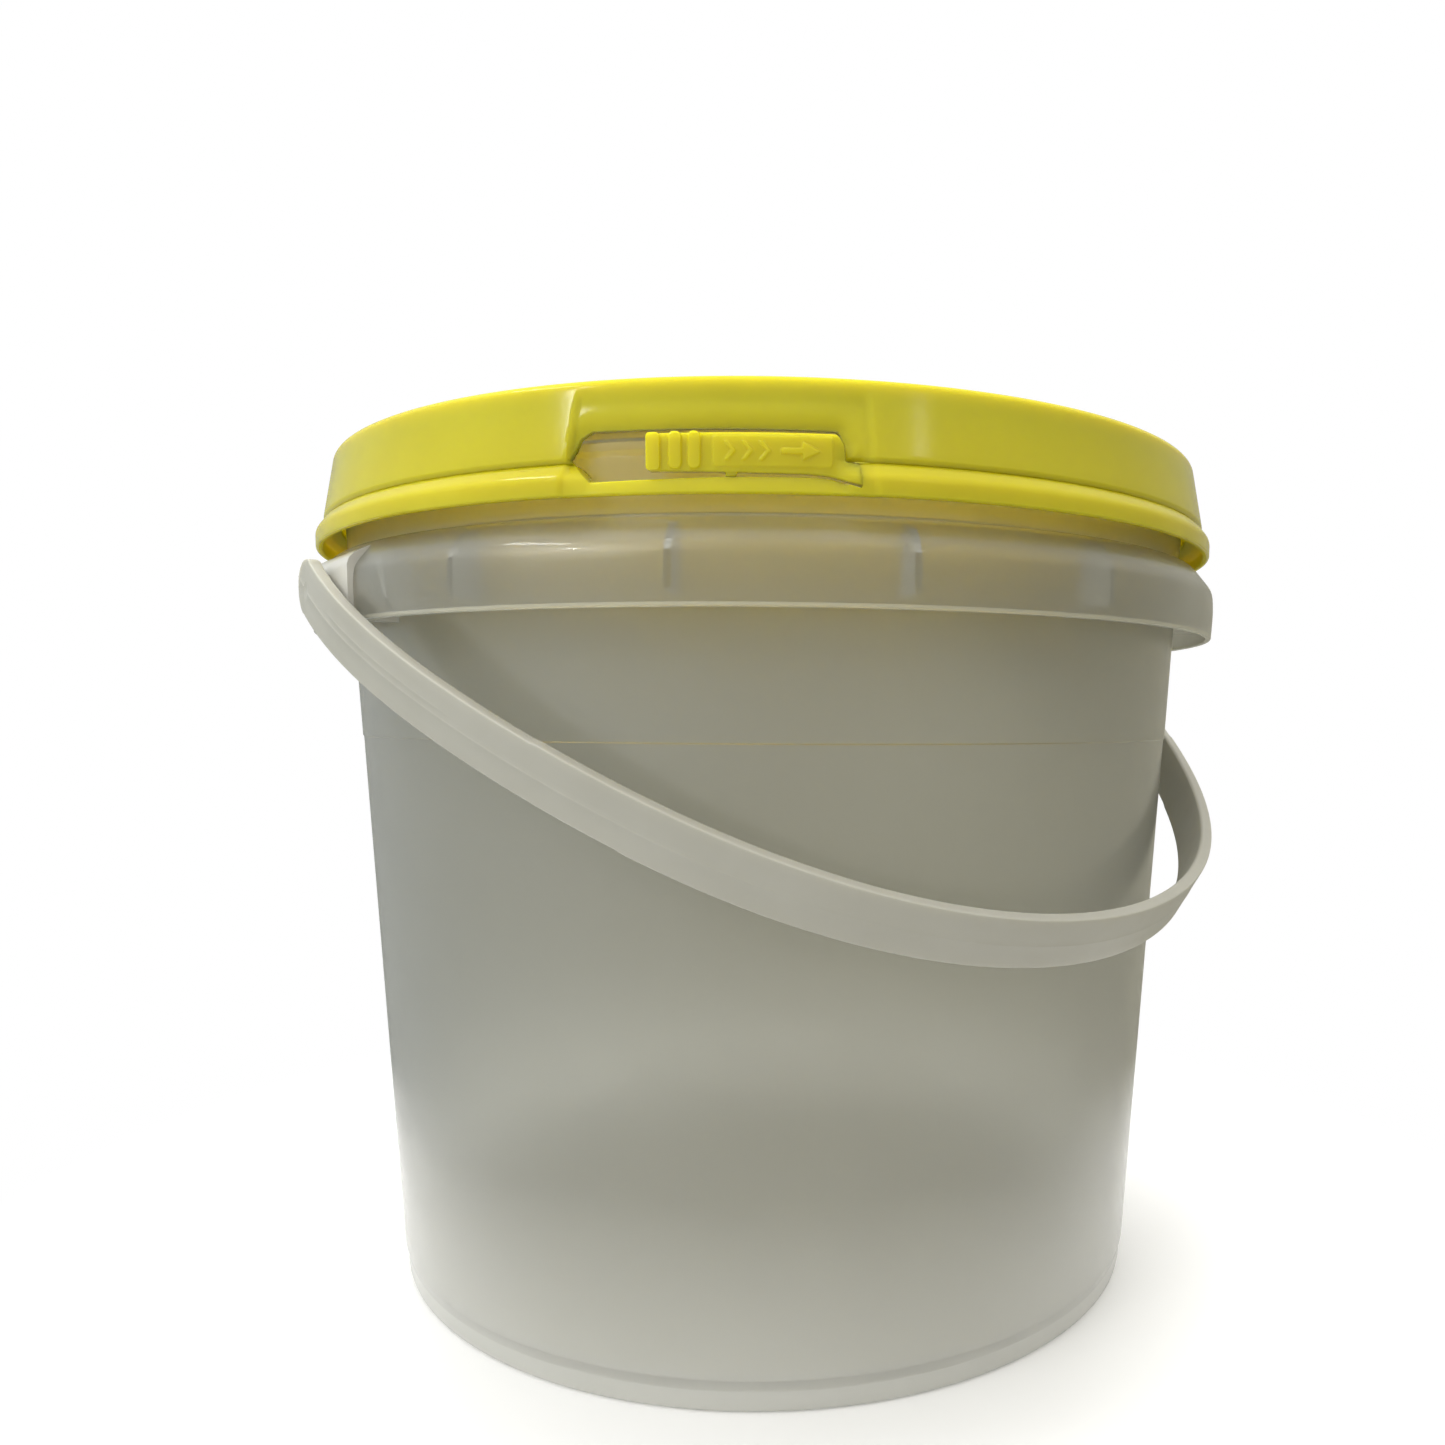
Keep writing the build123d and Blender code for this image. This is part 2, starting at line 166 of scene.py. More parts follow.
def lathe(name, pts, azs, warp=None, angle=32.0):
    """Turns a closed (r, z) polygon about Z. azs are azimuths in degrees round the whole circle."""
    azs = np.radians(np.asarray(azs, float))
    bm = bmesh.new()
    cols = []
    P = np.array(pts, float)
    axis = [None] * len(pts)
    for a in azs:
        r, z = P[:, 0].copy(), P[:, 1].copy()
        if warp is not None:
            r, z = warp(degrees(a), r, z)
        col = []
        for j in range(len(pts)):
            if P[j, 0] < 1e-6:
                if axis[j] is None:
                    axis[j] = bm.verts.new((0, 0, P[j, 1] * MM))
                col.append(axis[j])
            else:
                col.append(bm.verts.new((r[j] * sin(a) * MM, -r[j] * cos(a) * MM, z[j] * MM)))
        cols.append(col)
    n, m = len(azs), len(pts)
    for i in range(n):
        c0, c1 = cols[i], cols[(i + 1) % n]
        for j in range(m):
            k = (j + 1) % m
            vs = [c0[j], c1[j], c1[k], c0[k]]
            u = []
            for v in vs:
                if v not in u:
                    u.append(v)
            if len(u) >= 3:
                bm.faces.new(u)
    return link(name, bm, angle)


def solid_from(name, rings, cap=True, angle=32.0):
    """Skin over a list of equal closed rings of points, in mm."""
    bm = bmesh.new()
    vr = [[bm.verts.new(Vector(p) * MM) for p in ring] for ring in rings]
    for a, b in zip(vr[:-1], vr[1:]):
        n = len(a)
        for i in range(n):
            bm.faces.new((a[i], a[(i + 1) % n], b[(i + 1) % n], b[i]))
    if cap:
        bm.faces.new(vr[0][::-1])
        bm.faces.new(vr[-1])
    return link(name, bm, angle)


def boolean(ob, other, op):
    mod = ob.modifiers.new("b", "BOOLEAN")
    mod.operation = op
    mod.solver = "EXACT"
    mod.object = other
    dg = bpy.context.evaluated_depsgraph_get()
    me = bpy.data.meshes.new_from_object(ob.evaluated_get(dg))
    ob.modifiers.clear()
    old = ob.data
    ob.data = me
    bpy.data.meshes.remove(old)
    bpy.data.objects.remove(other)
    return ob


def merge(name, obs):
    bm = bmesh.new()
    for o in obs:
        bm.from_mesh(o.data)
        bpy.data.objects.remove(o)
    me = bpy.data.meshes.new(name)
    bm.to_mesh(me)
    bm.free()
    ob = bpy.data.objects.new(name, me)
    bpy.context.scene.collection.objects.link(ob)
    return ob


def prism(name, corners, direction, thick):
    """Flat plate through these points, thick along direction."""
    d = Vector(direction).normalized() * (thick / 2)
    return solid_from(name, [[Vector(c) - d for c in corners], [Vector(c) + d for c in corners]])


def at(az, r, z):
    a = radians(az)
    return Vector((r * sin(a), -r * cos(a), z))


def smoothstep(x, a, b):
    t = np.clip((x - a) / (b - a), 0, 1)
    return t * t * (3 - 2 * t)


# ------------------------------------------------------------------- pail ----
def make_pail(mats):
    rs = PART_STEP
    zf = FOOT_H + FLOOR_T
    pts = [
        (0, FOOT_H),
        (60.0, FOOT_H),
        (FOOT_R - FOOT_T, FOOT_H),
        (FOOT_R - FOOT_T, 0),
        (FOOT_R, 0),
        (FOOT_R + 0.25, 4.7),
        (wall_r(7.2), 7.2),
        (wall_r(PART_Z - 0.25), PART_Z - 0.25),
        (wall_r(PART_Z) + rs, PART_Z),
        (wall_r(174.4) + rs, 174.4),
        (109.0, 174.25),
        (112.75, 169.3),
        (113.1, 165.5),
        (112.75, 159.9),
        (112.7, COLLAR_Z),
        (COLLAR_R, COLLAR_Z),
        (114.14, 159.9),
        (114.42, 165.5),
        (114.08, 169.9),
        (109.6, 175.58),
        (wall_r(176.0) + rs, 175.9),
        (wall_r(186.4) + rs, 186.4),
        (LIP_R, LIP_Z + 0.2),
        (LIP_R, 188.9),
        (LIP_R - 0.55, 189.5),
        (LIP_R - 0.55, RIM_Z - 1.2),
        (LIP_R - 1.75, RIM_Z),
        (wall_r(191.0) - WALL_T + 0.3, RIM_Z),
        (wall_r(191.0) - WALL_T, RIM_Z - 1.5),
        (wall_r(zf + 6) - WALL_T, zf + 6),
        (wall_r(zf) - WALL_T, zf),
        (60.0, zf),
        (0, zf),
    ]
    rad = {3: 0.5, 2: 0.4, 4: 1.0, 5: 1.2, 6: 1.6, 9: 0.8, 10: 1.0, 11: 3.6, 12: 28.0, 14: 0.5, 15: 0.6,
           17: 30.0, 18: 4.6, 19: 2.4, 20: 0.7, 21: 0.8, 22: 0.7, 23: 0.8, 24: 0.4, 25: 0.8, 26: 0.6, 27: 0.4, 30: 7.5}
    prof = refine(rounded(pts, rad), 6.0, where=lambda a, b: a[0] > 61 and b[0] > 61)
    azs = np.arange(0, 360, 1.0)

    def warp(az, r, z):
        # a moulded wall is never perfectly round
        a = radians(az)
        up = np.clip((z - 20) / 120, 0, 1) * np.clip((158 - z) / 15, 0, 1) * (r > 90)
        return r + up * (0.10 * sin(2 * a + 0.6) + 0.05 * sin(5 * a + 2.1)), z

    pail = lathe("pail_shell", prof, azs, warp)
    for m in mats:
        pail.data.materials.append(m)
    # the floor is thicker and milkier than the wall
    for f in pail.data.polygons:
        c = f.center / MM
        rc = math.hypot(c.x, c.y)
        if c.z < 6.6 and rc < 95.5 and abs(f.normal.z) > 0.7:
            f.material_index = 1
        # painted highlight: the collar's bottom rim gets a milkier, yellower copy of the wall plastic so that it reads
        # as a bright edge line
        elif c.z < 160.2 and rc > 112.0:
            f.material_index = 3
    extra = []
    wr = wall_r(165) - 0.8
    for k in range(16):
        az = -90 + 22.5 * k
        if abs(abs(sin(radians(az))) - 1) < 1e-6:
            continue
        rib = [(wr, RIB_Z), (113.6, RIB_Z), (113.3, 168.0), (110.2, 173.2), (wr, 175.0)]
        t = (cos(radians(az)), sin(radians(az)), 0)
        extra.append(prism("rib", [at(az, r, z) for r, z in rib], t, 1.35))
    holes = []
    for s in (-1, 1):
        pad = [(EAR_FACE - EAR_T, COLLAR_Z), (EAR_FACE, COLLAR_Z), (EAR_FACE, 170.2), (EAR_FACE - 0.5, 171.6),
               (EAR_FACE - 1.7, 172.8), (EAR_FACE - 4.5, 174.3), (wr, 175.9), (wr, 174.3),
               (EAR_FACE - EAR_T - 3.0, 172.5), (EAR_FACE - EAR_T, 169.7)]
        extra.append(prism("pad", [(s * r, 0, z) for r, z in pad], (0, 1, 0), EAR_W))
        web = [(wr, COLLAR_Z), (EAR_FACE, COLLAR_Z), (EAR_FACE, 170.2), (EAR_FACE - 0.5, 171.6),
               (EAR_FACE - 1.7, 172.8), (EAR_FACE - 4.5, 174.3), (wr, 175.9)]
        for t in (-1, 1):
            y = t * (EAR_W / 2 - 0.75)
            extra.append(prism("web", [(s * r, y, z) for r, z in web], (0, 1, 0), 1.5))
            a0, a1 = 90 * s + t * 13.6, 90 * s + t * 9.4
            g = [at(a0, wr, COLLAR_Z + 1.2), at(a0, 113.5, COLLAR_Z + 1.2),
                 at(a1, 110.9, 172.8), at(a1, wr, 174.8)]
            am = radians((a0 + a1) / 2)
            extra.append(prism("splay", g, (cos(am), sin(am), 0), 1.2))
        ring0 = [(s * (EAR_FACE - EAR_T - 1), (PIN_R + 0.05) * cos(q), PIVOT_Z + (PIN_R + 0.05) * sin(q))
                 for q in np.linspace(0, 2 * pi, 48, endpoint=False)]
        ring1 = [(s * (EAR_FACE + 1), y, z) for _, y, z in ring0]
        holes.append(solid_from("hole", [ring0, ring1]))
    for o in extra + holes:
        for m in mats:
            o.data.materials.append(m)
        for f in o.data.polygons:
            f.material_index = 2
    for o in extra:
        pail = boolean(pail, o, "UNION")
    for o in holes:
        pail = boolean(pail, o, "DIFFERENCE")
    shade(pail, 30)
    return pail


# ----------------------------------------------------------------- handle ----
def strap_frames(n=420):
    """Middle line of the strap in its own plane: position, outward normal, distance from the pivot."""
    c = POLAR
    th = np.linspace(0, pi, n)
    r = c[0] + c[1] * np.cos(2 * th) + c[2] * np.cos(4 * th) + c[3] * np.cos(6 * th)
    dr = -2 * c[1] * np.sin(2 * th) - 4 * c[2] * np.sin(4 * th) - 6 * c[3] * np.sin(6 * th)
    x, y = -r * np.cos(th), r * np.sin(th)
    tx, ty = -dr * np.cos(th) + r * np.sin(th), dr * np.sin(th) + r * np.cos(th)
    l = np.hypot(tx, ty)
    nx, ny = -ty / l, tx / l
    flip = np.sign(nx * x + ny * y)
    flip[flip == 0] = 1
    return POLAR_SCALE * x, POLAR_SCALE * y, nx * flip, ny * flip, th


def make_handle():
    X, Y, NX, NY, th = strap_frames()
    R = STRAP_W / 2
    # beyond each pivot the strap runs straight on and its end is a half circle
    ends = [R * sin(q) for q in np.linspace(pi / 2 - 0.02, 0, 16)][:-1]
    stations = []
    for e in ends:
        stations.append((-STRAP_A, -e, -1.0, 0.0, sqrt(max(R * R - e * e, 1e-4)), 0.0))
    for i in range(len(X)):
        stations.append((X[i], Y[i], NX[i], NY[i], R, th[i]))
    for e in ends[::-1]:
        stations.append((STRAP_A, -e, 1.0, 0.0, sqrt(max(R * R - e * e, 1e-4)), pi))
    b = radians(90 - LEAN)
    down = Vector((0, -sin(b), -cos(b)))            # from the pivots to the grip
    side = Vector((0, -cos(b), sin(b)))             # across the strap, towards the upper edge
    arc = 7
    rings = []
    for x, y, nx, ny, w, t in stations:
        grip = float(smoothstep(np.array(sin(t)), 0.55, 0.62)) if 0 < t < pi else 0.0
        up_w = w - 0.22 * (1 - float(smoothstep(np.array(sin(t)), 0.57, 0.585))) * (1 if w >= R - 1e-6 else 0)
        lo_w = w - 0.25 * (1 - float(smoothstep(np.array(sin(t)), 0.705, 0.72))) * (1 if w >= R - 1e-6 else 0)
        h = STRAP_T / 2 - 0.012
        # crisp upper outer corner, softer elsewhere
        co, cl, ci = min(0.32, 0.9 * w), min(0.6, 0.9 * w), min(0.8, 0.9 * w)
        face = h - 0.09
        # a parting ridge runs along the outer face, and a short second one beside it near the left pivot
        main = 1.0 - 0.45 * float(smoothstep(np.array(t), 0.85, 1.15))
        short = float(smoothstep(np.array(t), 0.10, 0.14)) * (1 - float(smoothstep(np.array(t), 0.40, 0.47))) if y > 0 else 0.0
        sec = []

        def corner(cw, ch, r, q0, q1):
            for q in np.linspace(q0, q1, arc):
                sec.append((cw + r * cos(q), ch + r * sin(q)))

        def ridge(c, high):
            for d, k in ((0.34, 0.0), (0.2, 0.55), (0.1, 1.0), (-0.1, 1.0), (-0.2, 0.55), (-0.34, 0.0)):
                sec.append((w * c + min(1.0, w / R) * d, face + 0.09 * high * k))

        # section coordinates: first across (upper edge +), second outward
        corner(up_w - co, face - co, co, 0, pi / 2)
        sec.append((w * 0.55, face))
        ridge(0.20, short)
        ridge(-0.06, main)
        sec.append((-w * 0.5, face))
        corner(-(lo_w - cl), face - cl, cl, pi / 2, pi)
        corner(-(lo_w - ci), -(h - ci), ci, pi, 3 * pi / 2)
        sec.append((-w * 0.5, -h))
        sec.append((w * 0.0, -h))
        sec.append((w * 0.5, -h))
        corner(up_w - ci, -(h - ci), ci, 3 * pi / 2, 2 * pi)
        ring = []
        for a, o in sec:
            px, py = x + nx * o, y + ny * o
            p = Vector((px, 0, 0)) + down * py + side * a + Vector((0, 0, PIVOT_Z))
            ring.append(p)
        rings.append(ring)
    strap = solid_from("bail_strap", rings, angle=30)
    pins = []
    for s in (-1, 1):
        x_in, x_out = 108.4, STRAP_A - STRAP_T / 2 + 0.7
        prof = [(x_out, PIN_R), (111.55, PIN_R), (111.5, 4.1), (111.0, 4.15), (108.8, 2.95), (x_in, 2.5)]
        rr = []
        for x, r in prof:
            rr.append([(s * x, r * cos(q), PIVOT_Z + r * sin(q)) for q in np.linspace(0, 2 * pi, 48, endpoint=False)])
        pins.append(solid_from("pin", rr))
    for p in pins:
        strap = boolean(strap, p, "UNION")
    # a shallow round mark on the outer face over each pin
    for s in (-1, 1):
        bm = bmesh.new()
        bmesh.ops.create_uvsphere(bm, u_segments=96, v_segments=96, radius=7.0 * MM)
        bmesh.ops.translate(bm, verts=bm.verts, vec=(s * (STRAP_A + STRAP_T / 2 - 0.1 + 7.0 - 0.16) * MM, 0, PIVOT_Z * MM))
        strap = boolean(strap, link("dimple", bm), "DIFFERENCE")
    shade(strap, 30)
    return strap


# -------------------------------------------------------------- lid parts ----
F = -VIEW_AZ   # window corners below are given from the middle of the view
WINDOW = [(-16.9, 190.4), (6.35, 190.1), (7.0, 187.6), (7.05, 184.9), (8.15, 184.6), (8.3, 179.75), (7.2, 180.35),
          (5.6, 181.2), (3.6, 181.45), (-6.0, 181.3), (-16.5, 180.9), (-18.9, 185.3), (-18.0, 189.2)]
WINDOW_RND = {0: 1.0, 1: 1.2, 5: 0.25, 6: 1.0, 7: 2.0, 10: 0.4, 11: 0.5, 12: 0.8}
KU = 111.0 * pi / 180.0    # mm of skirt per degree


def window_outline():
    pts = [((a + F) * KU, z) for a, z in WINDOW]
    pts = rounded(pts, WINDOW_RND)
    return refine(pts, 1.2)


def window_cutter(grow=0.0):
    o = window_outline()
    bm = bmesh.new()
    inner = [bm.verts.new(at(u / KU, 104.0, z) * MM) for u, z in o]
    outer = [bm.verts.new(at(u / KU, 119.0, z) * MM) for u, z in o]
    n = len(o)
    for i in range(n):
        j = (i + 1) % n
        bm.faces.new((inner[i], inner[j], outer[j], outer[i]))
    f1 = bm.faces.new(inner[::-1])
    f2 = bm.faces.new(outer)
    bmesh.ops.triangulate(bm, faces=[f1, f2])
    return link("window_cutter", bm)


def window_distance(u, z):
    """Distance in mm from the window's outline, outside it."""
    o = np.array(window_outline())
    a, b = o, np.roll(o, -1, axis=0)
    p = np.stack([np.broadcast_to(u, z.shape), z], -1)[:, None, :]
    ab = (b - a)[None]
    t = np.clip(((p - a[None]) * ab).sum(-1) / (ab ** 2).sum(-1), 0, 1)
    d = np.linalg.norm(p - (a[None] + t[..., None] * ab), axis=-1)
    return d.min(1)


def panel_warp(az, r, z):
    """The skirt is set back round the window, with a rim that rolls in to the opening."""
    azv = (az + 180) % 360 - 180
    a = azv - F
    on = r > 104.5
    if a < -24 or a > 15 or not on.any():
        return r, z
    lo = -19.2 + (z - 184.6) * 0.055
    hi = 9.9 - (z - 184.6) * 0.03
    side = smoothstep(np.full_like(z, a), lo, lo + 0.5) * (1 - smoothstep(np.full_like(z, a), hi - 0.9, hi))
    d = window_distance(azv * KU, z)
    roll = np.clip(1 - d / 3.4, 0, 1) ** 2
    # the tab grows out of the band here, so the band keeps its full section
    roll = roll * np.where(z < 184.7, 1 - smoothstep(np.full_like(z, a), 6.6, 7.4), 1.0)
    topfade = 1 - smoothstep(z, 194.5, 198.6)
    back = (0.42 * side * topfade + 0.95 * roll * side) * on
    return r - back, z


def lid_azimuths():
    fine = np.arange(-58, -20, 0.25)
    rest = np.arange(-20, 302, 0.8)
    return np.concatenate([fine, rest])


def make_lid():
    pts = [
        (0, PANEL_Z - LID_T),
        (60, PANEL_Z - LID_T),
        (PANEL_R + 1.2, PANEL_Z - LID_T),
        (102.6, 193.2),
        (103.5, 194.4),
        (103.5, 195.4),
        (103.0, 196.6),
        (103.2, LID_Z - LID_T),
        (LID_TOP_R - 1.3, LID_Z - LID_T),
        (skirt_r(196.0) - SKIRT_T + 0.35, 196.0),
        (skirt_r(185.8) - SKIRT_T, 185.8),
        (109.75, SPLIT_Z + 0.02),
        (110.62, SPLIT_Z + 0.02),
        (SKIRT_R, 185.5),
        (skirt_r(LID_Z), LID_Z),
        (104.9, LID_Z),
        (104.6, LID_Z - 0.25),
        (103.2, LID_Z - 0.25),
        (102.9, LID_Z),
        (LAND_IN_R, LID_Z),
        (PANEL_R, PANEL_Z),
        (97.5, PANEL_Z),
        (97.0, PANEL_Z - 0.25),
        (95.8, PANEL_Z - 0.25),
        (95.3, PANEL_Z),
        (30.0, PANEL_Z),
        (29.6, PANEL_Z + 0.3),
        (29.0, PANEL_Z + 0.3),
        (28.6, PANEL_Z),
        (6.0, PANEL_Z),
        (5.2, PANEL_Z - 0.4),
        (0, PANEL_Z - 0.4),
    ]
    rad = {2: 0.8, 7: 0.3, 8: 0.6, 10: 0.3, 11: 0.15, 12: 0.25, 13: 0.5, 14: 1.7, 15: 0.3, 18: 0.3, 19: 0.9, 20: 1.8}
    prof = rounded(pts, rad, 10)
    prof = refine(prof, 0.55, where=lambda a, b: min(a[0], b[0]) > 104.6 and abs(a[1] - b[1]) > 0.6)
    prof = refine(prof, 12.0)
    lid = lathe("lid_shell", prof, lid_azimuths(), panel_warp)
    lid = boolean(lid, window_cutter(), "DIFFERENCE")
    shade(lid, 35)
    return lid


def make_band(mats):
    pts = [
        (109.75, SPLIT_Z - 0.02),
        (110.62, SPLIT_Z - 0.02),
        (111.15, 184.15),
        (111.55, 183.7),
        (BAND_R, 181.9),
        (BAND_R, BAND_Z + 0.2),
        (BAND_R - 0.5, BAND_Z),
        (BAND_R - 1.5, BAND_Z),
        (BAND_R - 1.6, 181.2),
        (109.6, 182.2),
        (BEAD_R, 183.0),
        (BEAD_R, 183.8),
        (108.6, SPLIT_Z - 0.02),
    ]
    rad = {1: 0.15, 2: 0.3, 3: 0.5, 4: 2.2, 5: 0.5, 6: 0.4, 7: 0.4, 8: 0.8, 9: 0.5, 10: 0.3, 11: 0.3}
    prof = refine(rounded(pts, rad, 10), 0.6)
    band = lathe("tamper_band_shell", prof, lid_azimuths(), lambda az, r, z: panel_warp(az, r, z))
    for m in mats:
        band.data.materials.append(m)
    for f in band.data.polygons:
        c = f.center / MM
        rc = math.hypot(c.x, c.y)
        out = (f.normal.x * c.x + f.normal.y * c.y) / rc
        if rc < 112.2 and out < 0.25 and c.z < 184.3:
            f.material_index = 1
    band = boolean(band, window_cutter(), "DIFFERENCE")
    shade(band, 35)
    return band


def flat_solid(name, outline, w0, w1):
    """Closed prism in flat tab space: u along the skirt, z up, w outward."""
    lo = [Vector((u, z, w0)) for u, z in outline]
    hi = [Vector((u, z, w1)) for u, z in outline]
    bm = bmesh.new()
    a = [bm.verts.new(p) for p in lo]
    b = [bm.verts.new(p) for p in hi]
    n = len(a)
    for i in range(n):
        bm.faces.new((a[i], a[(i + 1) % n], b[(i + 1) % n], b[i]))
    f1, f2 = bm.faces.new(a[::-1]), bm.faces.new(b)
    bmesh.ops.triangulate(bm, faces=[f1, f2])
    bmesh.ops.recalc_face_normals(bm, faces=bm.faces)
    me = bpy.data.meshes.new(name)
    bm.to_mesh(me)
    bm.free()
    ob = bpy.data.objects.new(name, me)
    bpy.context.scene.collection.objects.link(ob)
    return ob


def box2(u0, u1, z0, z1, r=0.3):
    return rounded([(u0, z0), (u1, z0), (u1, z1), (u0, z1)], {0: r, 1: r, 2: r, 3: r}, 20)


def make_tab():
    k = KU
    A = lambda a: (a + F) * k
    L = -10.98
    outline = [(A(L), 182.5), (A(L), 188.85), (A(6.1), 188.85), (A(6.72), 187.2), (A(6.85), 184.42),
               (A(8.55), 184.42), (A(8.55), 180.2), (A(7.0), 180.95), (A(5.4), 181.7), (A(3.5), 182.0),
               (A(-1.0), 182.1), (A(-5.4), 182.3)]
    outline = rounded(outline, {0: 0.6, 1: 0.7, 2: 1.3, 3: 0.8, 4: 0.3, 7: 1.0, 8: 2.0, 9: 2.0}, 15)
    outline = refine(outline, 0.8)
    solids = [flat_solid("plate", outline, 0.0, 1.5)]
    solids.append(flat_solid("endblock", box2(A(L), A(L) + 2.4, 182.5, 188.9, 0.6), -0.25, 2.1))
    for a0, a1 in ((-8.95, -7.8), (-7.2, -6.1)):
        solids.append(flat_solid("rib", box2(A(a0), A(a1), 182.7, 189.05, 0.9), 1.0, 2.05))
    solids.append(flat_solid("panel", box2(A(-5.0), A(5.6), 183.1, 188.3, 0.6), 1.0, 1.78))
    # a breakable bridge to the band
    solids.append(flat_solid("nib", box2(A(-3.9), A(-2.9), 181.5, 182.6, 0.2), 0.3, 1.2))
    # chevrons and an arrow that point along the pull
    for i in range(3):
        a = A(-4.0 + 1.55 * i)
        c = 185.7
        h = 1.65
        solids.append(flat_solid("chev", [(a, c - h), (a + 0.62, c - h), (a + 2.0, c), (a + 0.62, c + h), (a, c + h), (a + 1.35, c)], 1.5, 2.12))
    a = A(1.1)
    c = 185.7
    solids.append(flat_solid("arrow", [(a, c - 0.45), (a + 3.6, c - 0.45), (a + 3.6, c - 1.5), (a + 6.6, c), (a + 3.6, c + 1.5),
                                       (a + 3.6, c + 0.45), (a, c + 0.45)], 1.5, 2.12))
    tab = merge("tear_tab_shape", solids)
    rm = tab.modifiers.new("r", "REMESH")
    rm.mode = "VOXEL"
    rm.voxel_size = 0.13
    rm.adaptivity = 0.0
    sm = tab.modifiers.new("s", "SMOOTH")
    sm.factor = 0.5
    sm.iterations = 5
    dg = bpy.context.evaluated_depsgraph_get()
    me = bpy.data.meshes.new_from_object(tab.evaluated_get(dg))
    tab.modifiers.clear()
    tab.data = me
    co = np.zeros(len(me.vertices) * 3, np.float32)
    me.vertices.foreach_get("co", co)
    co = co.reshape(-1, 3).astype(float)
    az = np.radians(co[:, 0] / k)
    r = TAB_RI + co[:, 2]
    # the root takes the band's own section and grows out of it
    a_ = np.degrees(az) - F
    t = smoothstep(a_, 5.4, 7.9) * np.clip(co[:, 2] / 1.5, 0, 1)
    zs = [178.7, 181.2, 181.9, 182.6, 183.7, 184.15, 184.58, 190.0]
    band_r = np.interp(co[:, 1], zs, [113.0, 113.0, 112.85, 112.45, 111.55, 111.2, 110.8, 111.0]) - 0.42
    r = r + t * (band_r - TAB_RO) - 0.07 * smoothstep(a_, 8.1, 8.3)
    out = np.stack([r * np.sin(az), -r * np.cos(az), co[:, 1]], 1) * MM
    me.vertices.foreach_set("co", out.astype(np.float32).ravel())
    me.update()
    shade(tab, 60)
    return tab


# -------------------------------------------------------------- materials ----
def new_mat(name):
    m = bpy.data.materials.new(name)
    m.use_nodes = True
    nt = m.node_tree
    nt.nodes.clear()
    out = nt.nodes.new("ShaderNodeOutputMaterial")
    return m, nt, out


def noise(nt, scale, detail=3.0, rough=0.5, co=None, dist=0.0):
    n = nt.nodes.new("ShaderNodeTexNoise")
    n.inputs["Scale"].default_value = scale
    n.inputs["Detail"].default_value = detail
    n.inputs["Roughness"].default_value = rough
    n.inputs["Distortion"].default_value = dist
    if co is not None:
        nt.links.new(co, n.inputs["Vector"])
    return n


def ramp(nt, src, stops):
    r = nt.nodes.new("ShaderNodeValToRGB")
    cr = r.color_ramp
    while len(cr.elements) > 1:
        cr.elements.remove(cr.elements[-1])
    cr.elements[0].position = stops[0][0]
    cr.elements[0].color = stops[0][1]
    for p, c in stops[1:]:
        e = cr.elements.new(p)
        e.color = c
    nt.links.new(src, r.inputs["Fac"])
    return r


def maprange(nt, src, a, b, c, d):
    m = nt.nodes.new("ShaderNodeMapRange")
    m.inputs["From Min"].default_value = a
    m.inputs["From Max"].default_value = b
    m.inputs["To Min"].default_value = c
    m.inputs["To Max"].default_value = d
    nt.links.new(src, m.inputs["Value"])
    return m.outputs["Result"]


def bump(nt, height, strength, distance, normal=None):
    b = nt.nodes.new("ShaderNodeBump")
    b.inputs["Strength"].default_value = strength
    b.inputs["Distance"].default_value = distance
    nt.links.new(height, b.inputs["Height"])
    if normal is not None:
        nt.links.new(normal, b.inputs["Normal"])
    return b.outputs["Normal"]


def coords(nt, scale=(1, 1, 1)):
    tc = nt.nodes.new("ShaderNodeTexCoord")
    mp = nt.nodes.new("ShaderNodeMapping")
    mp.inputs["Scale"].default_value = scale
    nt.links.new(tc.outputs["Object"], mp.inputs["Vector"])
    return mp.outputs["Vector"]


def mat_yellow(name="lid_yellow_pp", rough=(0.11, 0.18), level=0.38):
    m, nt, out = new_mat(name)
    p = nt.nodes.new("ShaderNodeBsdfPrincipled")
    co = coords(nt)
    n1 = noise(nt, 26.0, 4.0, 0.55, co)
    c = ramp(nt, n1.outputs["Fac"], [(0.25, (0.600, 0.508, 0.013, 1)), (0.55, (0.640, 0.545, 0.016, 1)), (0.8, (0.680, 0.584, 0.024, 1))])
    nt.links.new(c.outputs["Color"], p.inputs["Base Color"])
    n2 = noise(nt, 90.0, 3.0, 0.6, co)
    nt.links.new(maprange(nt, n2.outputs["Fac"], 0.3, 0.7, *rough), p.inputs["Roughness"])
    wav = noise(nt, 22.0, 2.0, 0.4, co)
    fine = noise(nt, 900.0, 2.0, 0.5, co)
    b1 = bump(nt, wav.outputs["Fac"], 0.35, 0.0009)
    b2 = bump(nt, fine.outputs["Fac"], 0.12, 0.00008, b1)
    nt.links.new(b2, p.inputs["Normal"])
    p.inputs["IOR"].default_value = 1.49
    p.inputs["Specular IOR Level"].default_value = level
    p.inputs["Subsurface Weight"].default_value = 1.0
    p.inputs["Subsurface Radius"].default_value = (1.0, 0.88, 0.12)
    p.inputs["Subsurface Scale"].default_value = 0.006
    nt.links.new(p.outputs["BSDF"], out.inputs["Surface"])
    return m


